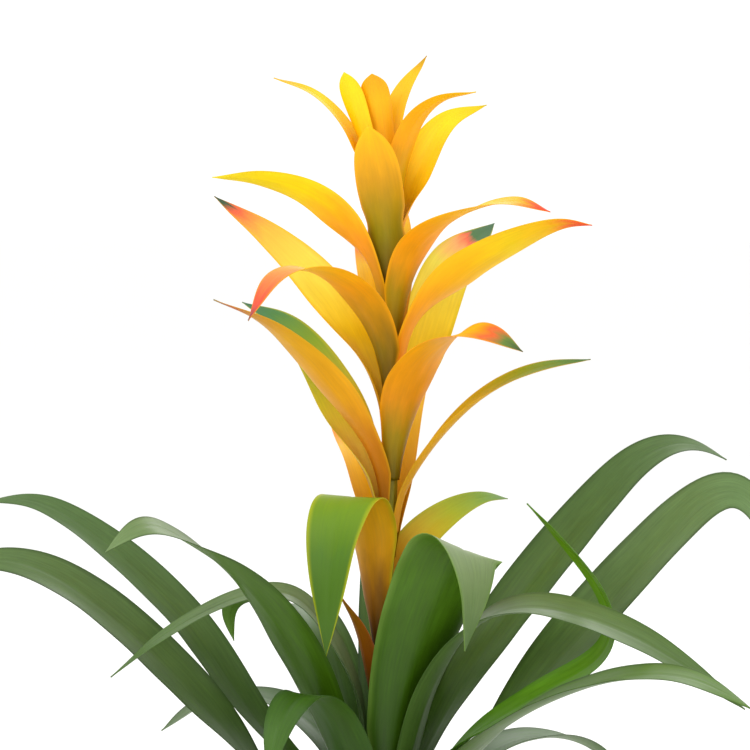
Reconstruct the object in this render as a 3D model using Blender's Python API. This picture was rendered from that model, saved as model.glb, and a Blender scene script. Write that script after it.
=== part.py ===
"""Potted bromeliad: a rosette of strap leaves round a spike of coloured bracts, in a clay pot.

Metres, +Z up. The origin is the middle of the pot's flat underside, so z is the height above the
bench. A heading is the way a leaf points seen from above: 0 is +X, 90 is +Y.
"""
import bpy
import numpy as np
from collections import namedtuple
from math import cos, pi, radians, sin

MM = 0.001

# Pot and soil, in millimetres.
POT_HEIGHT = 110.0
POT_TOP_RADIUS = 62.0
POT_FOOT_RADIUS = 43.0
POT_WALL = 4.5
POT_FLOOR = 6.0
RIM_HEIGHT = 24.0
RIM_STEP = 4.0
POT_SIDES = 36
SOIL_DROP = 10.0
GAP = 0.3

# Stem: a short fat caudex in the soil that the leaves grow from, then a slender scape.
CAUDEX_FOOT_RADIUS = 22.0
CAUDEX_DEPTH = 26.0
CAUDEX_TOP = 128.0
SCAPE_RADIUS = 4.6
SCAPE_TIP_RADIUS = 2.0
SCAPE_TOP = 534.0
SCAPE_ROUTE = ((0, 110), (1, 230), (6, 340), (7, 420), (2, 500), (-2, 560))

# Blades: shape rules that all leaves, or all bracts, share.
LEAF_THICKNESS = 1.0
BRACT_THICKNESS = 0.8
LEAF_ROWS = 13
BRACT_ROWS = 10
COLUMNS = 4
LEAF_LAYER = 2.1
LEAF_DROP = 4.2
FIRST_LEAF_RADIUS = 8.0
FIRST_LEAF_HEIGHT = 130.0
SHEATH_RISE = 24.0
SHEATH_LEAN = 0.22
BRACT_RADIUS = 5.6
BRACT_RISE = 14.0
BRACT_LEAN = 0.14
MAX_WRAP = 0.9
FOOT_WIDTH = 0.6
TIP_WIDTH = 1.4
EDGE_THINNING = 0.4

CLAY = (0.50, 0.19, 0.09)
SOIL = (0.035, 0.022, 0.014)
STEM_GREEN = (0.20, 0.24, 0.06)
LEAF_GREEN = (0.05, 0.13, 0.025)
BRACT_YELLOW = (0.85, 0.52, 0.03)

Blade = namedtuple(
    "Blade",
    "name heading foot width path roll twist swing channel widest fullness",
    defaults=(0, 0, 0, 0.9, 0.4, 1.8),
)


def leaf(name, heading, width, path, channel=0.9, widest=0.35, fullness=3.5, **habit):
    """One leaf of a fan; its foot follows from its place in the fan."""
    return Blade(name, heading, None, width, path, channel=channel, widest=widest,
                 fullness=fullness, **habit)


# Each blade points along its heading and passes through its path: (reach from the stem, height
# above the bench), in millimetres. roll lifts its left edge, seen from the stem, all along; twist
# lifts it towards the tip; swing carries the tip sideways to the left. channel is how open it is.
# The leaves stand in three fans, the innermost and steepest leaf of each first.
RIGHT_FAN = (
    leaf("leaf_01", 305, 58, ((24, 205), (40, 245), (66, 284), (96, 317), (110, 296), (106, 257)),
         roll=-22, swing=-16, widest=0.72, fullness=1.4),
    leaf("leaf_02", 318, 28, ((40, 221), (77, 266), (113, 279), (170, 275), (214, 262), (262, 240)),
         roll=20),
    leaf("leaf_03", 25, 34, ((36, 184), (84, 252), (142, 314), (190, 354), (222, 357), (246, 345)),
         roll=35),
    leaf("leaf_04", 332, 20, ((52, 186), (104, 222), (148, 252), (152, 272), (138, 296), (97, 335)),
         roll=45),
    leaf("leaf_05", 345, 46,
         ((64, 184), (110, 240), (164, 304), (198, 341), (214, 347), (227, 334), (234, 306)), roll=45),
    leaf("leaf_06", 312, 30, ((66, 178), (112, 214), (159, 238), (206, 254), (250, 258), (288, 248)),
         roll=15),
)
LEFT_FAN = (
    leaf("leaf_07", 182, 17, ((12, 205), (32, 254), (54, 279), (80, 279), (124, 261), (158, 237)),
         roll=-25, swing=64),
    leaf("leaf_08", 160, 24, ((30, 200), (64, 256), (86, 270), (100, 262), (96, 240)), twist=55),
    leaf("leaf_09", 220, 36, ((36, 187), (63, 243), (101, 290), (148, 322), (172, 332), (198, 318)),
         roll=35, twist=-80),
    leaf("leaf_10", 238, 34, ((38, 186), (62, 215), (84, 228), (106, 216), (120, 186))),
    leaf("leaf_11", 165, 28, ((73, 186), (124, 254), (183, 304), (225, 325), (258, 322)), roll=-35),
    leaf("leaf_12", 195, 38, ((60, 154), (102, 204), (161, 266), (205, 298), (235, 305), (262, 297)),
         roll=-40),
)
BACK_FAN = (
    leaf("leaf_13", 90, 28, ((20, 200), (50, 260), (90, 290), (140, 280))),
    leaf("leaf_14", 66, 30, ((26, 194), (66, 252), (118, 278), (170, 262))),
    leaf("leaf_15", 118, 30, ((34, 184), (66, 234), (102, 254), (145, 238))),
    leaf("leaf_16", 135, 30, ((40, 172), (90, 195), (150, 190), (205, 160))),
    leaf("leaf_17", 85, 34, ((45, 170), (100, 210), (160, 216), (220, 184))),
    leaf("leaf_18", 40, 32, ((52, 150), (105, 168), (160, 164), (215, 134))),
)

# Bracts, from the foot of the spike up. The foot is the height where each leaves the stem.
BRACTS = (
    Blade("bract_01", 215, 206, 18, ((10, 232), (17, 256), (30, 277))),
    Blade("bract_02", 330, 218, 18, ((9, 245), (14, 262), (20, 272))),
    Blade("bract_03", 80, 230, 22, ((10, 262), (26, 296), (55, 318))),
    Blade("bract_04", 240, 243, 42, ((11, 272), (18, 310), (31, 337), (47, 334), (60, 300), (66, 247)),
          widest=0.52, fullness=1.6),
    Blade("bract_05", 25, 252, 24, ((10, 280), (18, 300), (42, 320), (68, 330), (85, 328)), roll=45),
    Blade("bract_06", 120, 284, 26, ((11, 312), (30, 348), (70, 376))),
    Blade("bract_07", 348, 312, 20, ((12, 340), (33, 371), (62, 398), (92, 413), (122, 418)),
          channel=0.4, twist=50),
    Blade("bract_08", 155, 314, 32, ((15, 350), (36, 394), (66, 434), (99, 449)), roll=-40),
    Blade("bract_09", 70, 296, 26, ((12, 326), (32, 372), (75, 406))),
    Blade("bract_10", 215, 331, 28, ((14, 362), (40, 398), (85, 439), (123, 455)), roll=25, twist=-30),
    Blade("bract_11", 293, 344, 34, ((11, 372), (27, 408), (66, 434), (96, 436), (120, 427)),
          twist=40, swing=29),
    Blade("bract_12", 55, 350, 34, ((12, 378), (24, 404), (42, 438), (66, 472), (116, 497)),
          roll=30, fullness=3),
    Blade("bract_13", 110, 395, 26, ((10, 424), (26, 456), (66, 490))),
    Blade("bract_14", 150, 376, 30, ((16, 412), (45, 454), (84, 488), (127, 514)), roll=-40),
    Blade("bract_15", 228, 400, 34, ((12, 428), (32, 454), (70, 471), (100, 468), (122, 444))),
    Blade("bract_16", 345, 404, 30, ((14, 438), (38, 464), (75, 487), (103, 498), (121, 497)), roll=-40),
    Blade("bract_17", 85, 418, 24, ((12, 447), (34, 485), (75, 515))),
    Blade("bract_18", 302, 430, 28, ((10, 458), (24, 485), (58, 503), (96, 511), (120, 505)),
          twist=30, swing=30),
    Blade("bract_19", 262, 456, 30, ((10, 488), (21, 520), (27, 543), (32, 555)), swing=-8, fullness=5),
    Blade("bract_20", 195, 443, 24, ((15, 478), (44, 511), (78, 524), (108, 525)), roll=45),
    Blade("bract_21", 100, 458, 22, ((11, 486), (28, 520), (60, 545))),
    Blade("bract_22", 20, 468, 26, ((10, 500), (20, 532), (38, 559), (64, 569)), roll=45),
    Blade("bract_23", 320, 482, 18, ((10, 526), (21, 556), (40, 570), (68, 574)), roll=-15),
    Blade("bract_24", 100, 504, 18, ((9, 530), (20, 556), (42, 576))),
    Blade("bract_25", 184, 490, 16, ((13, 530), (24, 556), (42, 575), (66, 584)), roll=-30),
    Blade("bract_26", 264, 520, 20, ((7, 548), (11, 572), (15, 586)), swing=-4, fullness=8),
    Blade("bract_27", 208, 505, 17, ((11, 540), (19, 566), (26, 587)), twist=45, fullness=8),
    Blade("bract_28", 25, 518, 17, ((7, 548), (14, 576), (30, 598)), roll=30),
)


def material(name, colour, roughness):
    finish = bpy.data.materials.new(name)
    finish.use_nodes = True
    shader = finish.node_tree.nodes["Principled BSDF"]
    shader.inputs["Base Color"].default_value = (*colour, 1.0)
    shader.inputs["Roughness"].default_value = roughness
    finish.diffuse_color = (*colour, 1.0)
    return finish


def place(name, mesh, finish):
    """Put a mesh in the scene as one named piece of the object."""
    piece = bpy.data.objects.new(name, mesh)
    mesh.materials.append(finish)
    mesh.shade_smooth()
    mesh.set_sharp_from_angle(angle=radians(40))
    bpy.context.scene.collection.objects.link(piece)
    return piece


def mesh_from(name, points, faces):
    """A mesh from points in millimetres."""
    mesh = bpy.data.meshes.new(name)
    mesh.from_pydata((np.asarray(points, float) * MM).tolist(), [], faces)
    mesh.update()
    return mesh


def smooth_route(points, count):
    """Evenly spaced points along one smooth curve through the given ones."""
    knots = np.asarray(points, float)
    knots = np.vstack((2 * knots[0] - knots[1], knots, 2 * knots[-1] - knots[-2]))
    stretch = []
    for a, b, c, d in zip(knots, knots[1:], knots[2:], knots[3:]):
        t0 = 0.0
        t1 = t0 + np.linalg.norm(b - a) ** 0.5
        t2 = t1 + np.linalg.norm(c - b) ** 0.5
        t3 = t2 + np.linalg.norm(d - c) ** 0.5
        t = np.linspace(t1, t2, 24, endpoint=False)[:, None]
        ab = (t1 - t) / (t1 - t0) * a + (t - t0) / (t1 - t0) * b
        bc = (t2 - t) / (t2 - t1) * b + (t - t1) / (t2 - t1) * c
        cd = (t3 - t) / (t3 - t2) * c + (t - t2) / (t3 - t2) * d
        abc = (t2 - t) / (t2 - t0) * ab + (t - t0) / (t2 - t0) * bc
        bcd = (t3 - t) / (t3 - t1) * bc + (t - t1) / (t3 - t1) * cd
        stretch.append((t2 - t) / (t2 - t1) * abc + (t - t1) / (t2 - t1) * bcd)
    fine = np.vstack(stretch + [knots[-2:-1]])
    walked = np.concatenate(((0.0,), np.cumsum(np.linalg.norm(np.diff(fine, axis=0), axis=1))))
    wanted = np.linspace(0.0, walked[-1], count)
    return np.stack([np.interp(wanted, walked, axis) for axis in fine.T], axis=1)


def scape_centre(height):
    """Where the middle of the stem is at a height: the spike leans a little, then back."""
    route = smooth_route(SCAPE_ROUTE, 60)
    return float(np.interp(height, route[:, 1], route[:, 0]))


def unit(vectors):
    return vectors / np.linalg.norm(vectors, axis=-1, keepdims=True)


def ease(along, start, end):
    """0 before start, 1 after end, and a smooth climb between them."""
    part = np.clip((along - start) / (end - start), 0.0, 1.0)
    return part * part * (3.0 - 2.0 * part)


def blade_skins(shape, foot, sheath, rows, thickness):
    """Two grids of points, the upper and the lower skin of one leaf or bract.

    The midrib starts at foot, climbs to sheath with the stem, and then goes through its path.
    Across the midrib the blade is an arc: round the stem at first, then an ever shallower channel,
    and flat where the blade bends sharply.
    """
    facing = radians(shape.heading)
    outward = np.array((cos(facing), sin(facing), 0.0))
    leftward = np.array((-sin(facing), cos(facing), 0.0))
    reach, height = smooth_route((foot, sheath, *shape.path), rows + 1).T
    along = np.linspace(0.0, 1.0, rows + 1)
    start = np.array((scape_centre(foot[1]), 0.0, 0.0))
    midrib = start + np.outer(reach, outward) + np.outer(height, (0.0, 0.0, 1.0))
    midrib += np.outer(shape.swing * along ** 2, leftward)

    tangent = unit(np.gradient(midrib, axis=0))
    side = unit(leftward - (tangent @ leftward)[:, None] * tangent)
    upper = np.cross(tangent, side)
    turn = np.radians(shape.roll * ease(along, 0.15, 0.5) + shape.twist * along ** 2)[:, None]
    side, upper = np.cos(turn) * side + np.sin(turn) * upper, np.cos(turn) * upper - np.sin(turn) * side

    swell = FOOT_WIDTH + (1.0 - FOOT_WIDTH) * ease(along, 0.0, shape.widest)
    taper = np.clip((along - shape.widest) / (1.0 - shape.widest), 0.0, 1.0)
    span = np.maximum(shape.width * swell * (1.0 - taper ** shape.fullness), TIP_WIDTH)
    step = np.linalg.norm(np.diff(midrib, axis=0), axis=1).mean()
    bend = np.linalg.norm(np.gradient(tangent, axis=0), axis=1) / step
    curl = np.clip(reach, foot[0], max(shape.channel * shape.width, foot[0]))
    curl *= 1.0 + (bend * shape.width) ** 2
    wrap = np.minimum(span / 2.0 / curl, MAX_WRAP)

    skins = []
    for face in (0.5, -0.5):
        grid = []
        for across in np.linspace(-1.0, 1.0, COLUMNS + 1):
            angle = (wrap * across)[:, None]
            normal = np.cos(angle) * upper - np.sin(angle) * side
            skin = midrib + curl[:, None] * (np.sin(angle) * side + (1.0 - np.cos(angle)) * upper)
            grid.append(skin + normal * face * thickness * (1.0 - EDGE_THINNING * across ** 2))
        skins.append(np.stack(grid, axis=1))
    return skins


def blade(name, finish, skins):
    """Close the two skins of a blade into one solid."""
    rows, columns, _ = skins[0].shape
    points = np.concatenate([skin.reshape(-1, 3) for skin in skins])
    under = rows * columns

    def at(row, column, face=0):
        return face * under + row * columns + column

    faces = []
    for row in range(rows - 1):
        for column in range(columns - 1):
            ring = ((row, column), (row, column + 1), (row + 1, column + 1), (row + 1, column))
            # Both skins split a cell along the same diagonal, so a twisted one keeps its thickness.
            for half in (ring[:3], (ring[0], ring[2], ring[3])):
                faces.append(tuple(at(r, c) for r, c in reversed(half)))
                faces.append(tuple(at(r, c, 1) for r, c in half))
    rim = [(row, 0) for row in range(rows)]
    rim += [(rows - 1, column) for column in range(1, columns)]
    rim += [(row, columns - 1) for row in range(rows - 2, -1, -1)]
    rim += [(0, column) for column in range(columns - 2, 0, -1)]
    for (r0, c0), (r1, c1) in zip(rim, rim[1:] + rim[:1]):
        faces.append((at(r1, c1), at(r0, c0), at(r0, c0, 1), at(r1, c1, 1)))
    return place(name, mesh_from(name, points, faces), finish)


def turned(name, profile, sides, finish):
    """A closed turned solid. The profile is (radius, height) points that start and end on the axis,
    outer side first from the top down."""
    angles = [2 * pi * k / sides for k in range(sides)]
    points, rings = [], []
    for radius, height in profile:
        if radius == 0:
            rings.append([len(points)] * sides)
            points.append((0.0, 0.0, height))
        else:
            rings.append([len(points) + k for k in range(sides)])
            points += [(radius * cos(a), radius * sin(a), height) for a in angles]
    faces = []
    for above, below in zip(rings, rings[1:]):
        for k in range(sides):
            n = (k + 1) % sides
            corner = [above[k], below[k], below[n], above[n]]
            faces.append(tuple(dict.fromkeys(corner)))
    return place(name, mesh_from(name, points, faces), finish)


def make_pot(finish):
    """A plain thrown clay pot with a deep collar rim and a flat closed base."""
    top, rim_foot = POT_HEIGHT, POT_HEIGHT - RIM_HEIGHT
    body_top = POT_TOP_RADIUS - RIM_STEP
    inner_top = POT_TOP_RADIUS - POT_WALL - RIM_STEP
    profile = (
        (0, POT_FLOOR),
        (POT_FOOT_RADIUS - POT_WALL, POT_FLOOR),
        (inner_top, rim_foot),
        (inner_top, top - 1.5),
        (inner_top + 1.5, top),
        (POT_TOP_RADIUS - 1.5, top),
        (POT_TOP_RADIUS, top - 1.5),
        (POT_TOP_RADIUS - 1.0, rim_foot),
        (body_top, rim_foot - 1.0),
        (POT_FOOT_RADIUS + 1.5, 1.5),
        (POT_FOOT_RADIUS, 0),
        (0, 0),
    )
    return turned("pot", profile, POT_SIDES, finish)


def make_soil(finish):
    """Potting mix that fills the pot to a little under its rim, heaped slightly, round the caudex."""
    low, high = POT_FLOOR + GAP, POT_HEIGHT - SOIL_DROP
    rim_foot = POT_HEIGHT - RIM_HEIGHT
    inner_top = POT_TOP_RADIUS - POT_WALL - RIM_STEP - GAP
    foot = POT_FOOT_RADIUS - POT_WALL - GAP
    hole = CAUDEX_FOOT_RADIUS + GAP
    seat = high - CAUDEX_DEPTH
    profile = (
        (0, seat),
        (hole - 6.0, seat),
        (hole, high + 3.0),
        (hole + 14.0, high + 2.0),
        (inner_top - 1.0, high),
        (inner_top, high - 1.0),
        (inner_top, rim_foot),
        (foot, low),
        (0, low),
    )
    return turned("potting_mix", profile, POT_SIDES, finish)


def make_stem(finish):
    """Caudex and scape in one: a cone that the leaves sit on, and a stalk up through the spike."""
    seat = POT_HEIGHT - SOIL_DROP - CAUDEX_DEPTH + GAP
    rings = [
        (CAUDEX_FOOT_RADIUS - 6.0 - GAP, seat),
        (CAUDEX_FOOT_RADIUS - GAP, POT_HEIGHT - SOIL_DROP + 1.0),
        (SCAPE_RADIUS + 2.0, CAUDEX_TOP),
        (SCAPE_RADIUS, CAUDEX_TOP + 12.0),
    ]
    for height in range(180, 520, 40):
        rings.append((SCAPE_RADIUS, height))
    rings.append((SCAPE_TIP_RADIUS, SCAPE_TOP))
    sides = 12
    points = []
    for radius, height in rings:
        middle = scape_centre(height) if height > CAUDEX_TOP else 0.0
        for k in range(sides):
            angle = 2 * pi * k / sides
            points.append((middle + radius * cos(angle), radius * sin(angle), height))
    faces = [tuple(reversed(range(sides)))]
    for ring in range(len(rings) - 1):
        for k in range(sides):
            a, b = ring * sides + k, ring * sides + (k + 1) % sides
            faces.append((a, b, b + sides, a + sides))
    faces.append(tuple(range(len(points) - sides, len(points))))
    return place("flower_stem", mesh_from("flower_stem", points, faces), finish)


def make_leaves(finish):
    """Each fan's leaves sit on the caudex in layers, the inner ones higher and steeper."""
    for fan in (RIGHT_FAN, LEFT_FAN, BACK_FAN):
        for layer, shape in enumerate(fan):
            radius = FIRST_LEAF_RADIUS + LEAF_LAYER * layer
            height = FIRST_LEAF_HEIGHT - LEAF_DROP * layer
            sheath = (radius + SHEATH_LEAN * SHEATH_RISE, height + SHEATH_RISE)
            skins = blade_skins(shape, (radius, height), sheath, LEAF_ROWS, LEAF_THICKNESS)
            blade(shape.name, finish, skins)


def make_bracts(finish):
    for shape in BRACTS:
        sheath = (BRACT_RADIUS + BRACT_LEAN * BRACT_RISE, shape.foot + BRACT_RISE)
        skins = blade_skins(shape, (BRACT_RADIUS, shape.foot), sheath, BRACT_ROWS, BRACT_THICKNESS)
        blade(shape.name, finish, skins)


def main():
    for thing in list(bpy.data.objects):
        bpy.data.objects.remove(thing)
    make_pot(material("Terracotta", CLAY, 0.85))
    make_soil(material("Potting mix", SOIL, 0.95))
    make_stem(material("Stem", STEM_GREEN, 0.5))
    make_leaves(material("Leaf", LEAF_GREEN, 0.35))
    make_bracts(material("Bract", BRACT_YELLOW, 0.35))


main()
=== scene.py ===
# %% [markdown]
# # A potted bromeliad, made in Blender
#
# A flowering bromeliad is a rosette of strap leaves that hold water where they clasp the stem, and
# out of its middle a stalk set with coloured bracts. This lesson grows one over a plain model that
# is already the right size. Each leaf, each bract, the stalk, the soil and the pot is one piece,
# and each stands for the plain piece of the same name.

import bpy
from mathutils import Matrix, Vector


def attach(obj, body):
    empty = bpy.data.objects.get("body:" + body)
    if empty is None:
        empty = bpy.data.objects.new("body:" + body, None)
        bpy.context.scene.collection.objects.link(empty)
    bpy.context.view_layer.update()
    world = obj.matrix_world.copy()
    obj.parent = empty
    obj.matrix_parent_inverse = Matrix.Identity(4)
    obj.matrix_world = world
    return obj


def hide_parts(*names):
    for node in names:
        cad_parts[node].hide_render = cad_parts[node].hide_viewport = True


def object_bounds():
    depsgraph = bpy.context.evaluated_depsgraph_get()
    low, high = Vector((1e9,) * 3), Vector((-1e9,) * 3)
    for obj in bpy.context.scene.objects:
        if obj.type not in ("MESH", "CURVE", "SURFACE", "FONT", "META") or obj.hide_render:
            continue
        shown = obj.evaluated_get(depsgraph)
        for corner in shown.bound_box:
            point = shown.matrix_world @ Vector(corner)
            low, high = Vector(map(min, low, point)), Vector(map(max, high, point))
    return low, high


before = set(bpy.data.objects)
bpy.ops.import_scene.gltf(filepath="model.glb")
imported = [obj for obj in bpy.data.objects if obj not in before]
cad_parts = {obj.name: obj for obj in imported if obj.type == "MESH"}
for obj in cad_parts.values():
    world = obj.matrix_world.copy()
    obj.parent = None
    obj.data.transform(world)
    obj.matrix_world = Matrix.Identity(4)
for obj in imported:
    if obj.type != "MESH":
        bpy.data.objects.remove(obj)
plain_low, plain_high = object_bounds()
plain_size = [round(b - a, 3) for a, b in zip(plain_low, plain_high)]
print(f"{len(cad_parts)} plain pieces, {plain_size} metres over all")

# %% Modules and units
from collections import namedtuple
from math import cos, pi, radians, sin

import bmesh
import bpy
import numpy as np
from mathutils import Euler, Vector, noise

MM = 0.001
BODY = "root"
scene = bpy.context.scene
print("lengths below are in millimetres unless a comment says metres")

# %% [markdown]
# ## The camera
#
# The plant is seen from the front and a little above, from far enough away that near leaves are
# not much larger than far ones. A long lens does that. The camera aims at the middle of the spike's
# lower half, so the pot stands below the view.

# %% Place the camera
AIM = (-0.003, 0.0, 0.407)
CAMERA_DISTANCE = 1.5
CAMERA_RISE = radians(4)
LENS, SENSOR = 120, 36
camera_data = bpy.data.cameras.new("camera")
camera_data.lens = LENS
camera_data.sensor_width = SENSOR
camera = bpy.data.objects.new("camera", camera_data)
camera.location = (
    AIM[0],
    AIM[1] - CAMERA_DISTANCE * cos(CAMERA_RISE),
    AIM[2] + CAMERA_DISTANCE * sin(CAMERA_RISE),
)
camera.rotation_euler = (pi / 2 - CAMERA_RISE, 0, 0)
scene.collection.objects.link(camera)
scene.camera = camera
print("camera at", [round(x, 3) for x in camera.location])

# %% [markdown]
# ## Materials: two small tools
#
# A paint maker writes a colour as a hex value, which is how the eye sees it. A shader works with
# the amount of light, so one function turns the first into the second. The other function adds one
# node to a material, sets it up and links it, which keeps each material short enough to read.

# %% Colour and node tools
def linear(hex_colour):
    """An sRGB hex colour as the linear colour, with alpha, that a shader's socket takes."""
    values = [int(hex_colour[i:i + 2], 16) / 255 for i in (1, 3, 5)]
    return (*(v / 12.92 if v <= 0.04045 else ((v + 0.055) / 1.055) ** 2.4 for v in values), 1.0)


def add(tree, kind, inputs=None, stops=None, **settings):
    """Add a node. inputs are values or links for its sockets, stops are a colour ramp's."""
    made = tree.nodes.new("ShaderNode" + kind)
    for name, value in settings.items():
        setattr(made, name, value)
    for socket, value in (inputs or {}).items():
        if isinstance(value, bpy.types.NodeSocket):
            tree.links.new(value, made.inputs[socket])
        else:
            made.inputs[socket].default_value = value
    if stops:
        ramp = made.color_ramp.elements
        while len(ramp) < len(stops):
            ramp.new(1.0)
        for element, (place, colour) in zip(ramp, stops):
            element.position = place
            element.color = linear(colour)
    return made


def new_material(name):
    """An empty node material and its tree."""
    material = bpy.data.materials.new(name)
    material.use_nodes = True
    material.node_tree.nodes.clear()
    return material, material.node_tree


def surface(material, shader):
    """Make a shader node the material's surface."""
    output = add(material.node_tree, "OutputMaterial")
    material.node_tree.links.new(shader.outputs[0], output.inputs["Surface"])
    return material


print("ochre is", [round(x, 3) for x in linear("#F2B01E")])

# %% [markdown]
# ## The studio
#
# The plant stands on a wide pale floor in even daylight, with one large soft light from the front
# left, a weaker one from the right and one from behind that picks out the edges. Lit this way, a
# plant keeps its true colours and its gloss stays soft.

# %% Floor, daylight and lights
FLOOR_SPAN = 60.0          # metres
DAYLIGHT_STRENGTH = 1.12
floor_mesh = bpy.data.meshes.new("floor")
half = FLOOR_SPAN / 2
floor_mesh.from_pydata([(-half, -half, 0), (half, -half, 0), (half, half, 0), (-half, half, 0)],
                       [], [(0, 1, 2, 3)])
floor = bpy.data.objects.new("floor", floor_mesh)
scene.collection.objects.link(floor)
floor_paint, tree = new_material("matt_painted_floor")
surface(floor_paint, add(tree, "BsdfPrincipled", {
    "Base Color": linear("#F4F4F2"),
    "Roughness": 0.9,
    "Specular IOR Level": 0.2,
}))
floor_mesh.materials.append(floor_paint)

scene.world = bpy.data.worlds.new("daylight")
scene.world.use_nodes = True
daylight = scene.world.node_tree.nodes["Background"]
daylight.inputs["Color"].default_value = linear("#FFFFFF")
daylight.inputs["Strength"].default_value = DAYLIGHT_STRENGTH
scene.view_settings.view_transform = "Standard"


def soft_light(name, place, aim, width, power):
    """A square studio light, in metres and watts, turned towards a point."""
    data = bpy.data.lights.new(name, "AREA")
    data.size = width
    data.energy = power
    light = bpy.data.objects.new(name, data)
    light.location = place
    way = light.location - Vector(aim)
    light.rotation_euler = way.to_track_quat("Z", "Y").to_euler()
    scene.collection.objects.link(light)
    return light


PLANT_MIDDLE = (0.0, 0.0, 0.35)
soft_light("key", (-1.1, -1.5, 1.5), PLANT_MIDDLE, 1.0, 14)
soft_light("fill", (1.6, -1.2, 0.9), PLANT_MIDDLE, 1.4, 5)
soft_light("edge", (0.4, 1.6, 1.6), PLANT_MIDDLE, 1.0, 10)

# %% [markdown]
# ## How one blade grows
#
# Leaves and bracts are the same organ: a strap that wraps the stem at its foot and opens towards
# its tip. Four things describe one: which way it points, the path that its midrib takes, its
# width, and how it turns on the way. A curve with a bevel would give a ribbon of one section, and
# sculpting fifty blades by hand would take days, so the blade is worked out row by row instead.

# %% The blades of this plant
Blade = namedtuple(
    "Blade",
    "name heading foot width path roll twist swing channel widest fullness",
    defaults=(0, 0, 0, 0.9, 0.4, 1.8),
)


def leaf(name, heading, width, path, channel=0.9, widest=0.35, fullness=3.5, **habit):
    """One leaf of a fan; its foot follows from its place in the fan."""
    return Blade(name, heading, None, width, path, channel=channel, widest=widest,
                 fullness=fullness, **habit)


# A heading is the way a blade points seen from above: 0 is right and 90 is away from the camera.
# A path is (reach from the stem, height above the floor). roll lifts the left edge, seen from the
# stem, all along; twist lifts it towards the tip; swing carries the tip to the left.
RIGHT_FAN = (
    leaf("leaf_01", 305, 58, ((24, 205), (40, 245), (66, 284), (96, 317), (110, 296), (106, 257)),
         roll=-22, swing=-16, widest=0.72, fullness=1.4),
    leaf("leaf_02", 318, 28, ((40, 221), (77, 266), (113, 279), (170, 275), (214, 262), (262, 240)),
         roll=20),
    leaf("leaf_03", 25, 34, ((36, 184), (84, 252), (142, 314), (190, 354), (222, 357), (246, 345)),
         roll=35),
    leaf("leaf_04", 332, 20, ((52, 186), (104, 222), (148, 252), (152, 272), (138, 296), (97, 335)),
         roll=45),
    leaf("leaf_05", 345, 46,
         ((64, 184), (110, 240), (164, 304), (198, 341), (214, 347), (227, 334), (234, 306)), roll=45),
    leaf("leaf_06", 312, 30, ((66, 178), (112, 214), (159, 238), (206, 254), (250, 258), (288, 248)),
         roll=15),
)
LEFT_FAN = (
    leaf("leaf_07", 182, 17, ((12, 205), (32, 254), (54, 279), (80, 279), (124, 261), (158, 237)),
         roll=-25, swing=64),
    leaf("leaf_08", 160, 24, ((30, 200), (64, 256), (86, 270), (100, 262), (96, 240)), twist=55),
    leaf("leaf_09", 220, 36, ((36, 187), (63, 243), (101, 290), (148, 322), (172, 332), (198, 318)),
         roll=35, twist=-80),
    leaf("leaf_10", 238, 34, ((38, 186), (62, 215), (84, 228), (106, 216), (120, 186))),
    leaf("leaf_11", 165, 28, ((73, 186), (124, 254), (183, 304), (225, 325), (258, 322)), roll=-35),
    leaf("leaf_12", 195, 38, ((60, 154), (102, 204), (161, 266), (205, 298), (235, 305), (262, 297)),
         roll=-40),
)
BACK_FAN = (
    leaf("leaf_13", 90, 28, ((20, 200), (50, 260), (90, 290), (140, 280))),
    leaf("leaf_14", 66, 30, ((26, 194), (66, 252), (118, 278), (170, 262))),
    leaf("leaf_15", 118, 30, ((34, 184), (66, 234), (102, 254), (145, 238))),
    leaf("leaf_16", 135, 30, ((40, 172), (90, 195), (150, 190), (205, 160))),
    leaf("leaf_17", 85, 34, ((45, 170), (100, 210), (160, 216), (220, 184))),
    leaf("leaf_18", 40, 32, ((52, 150), (105, 168), (160, 164), (215, 134))),
)

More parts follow.
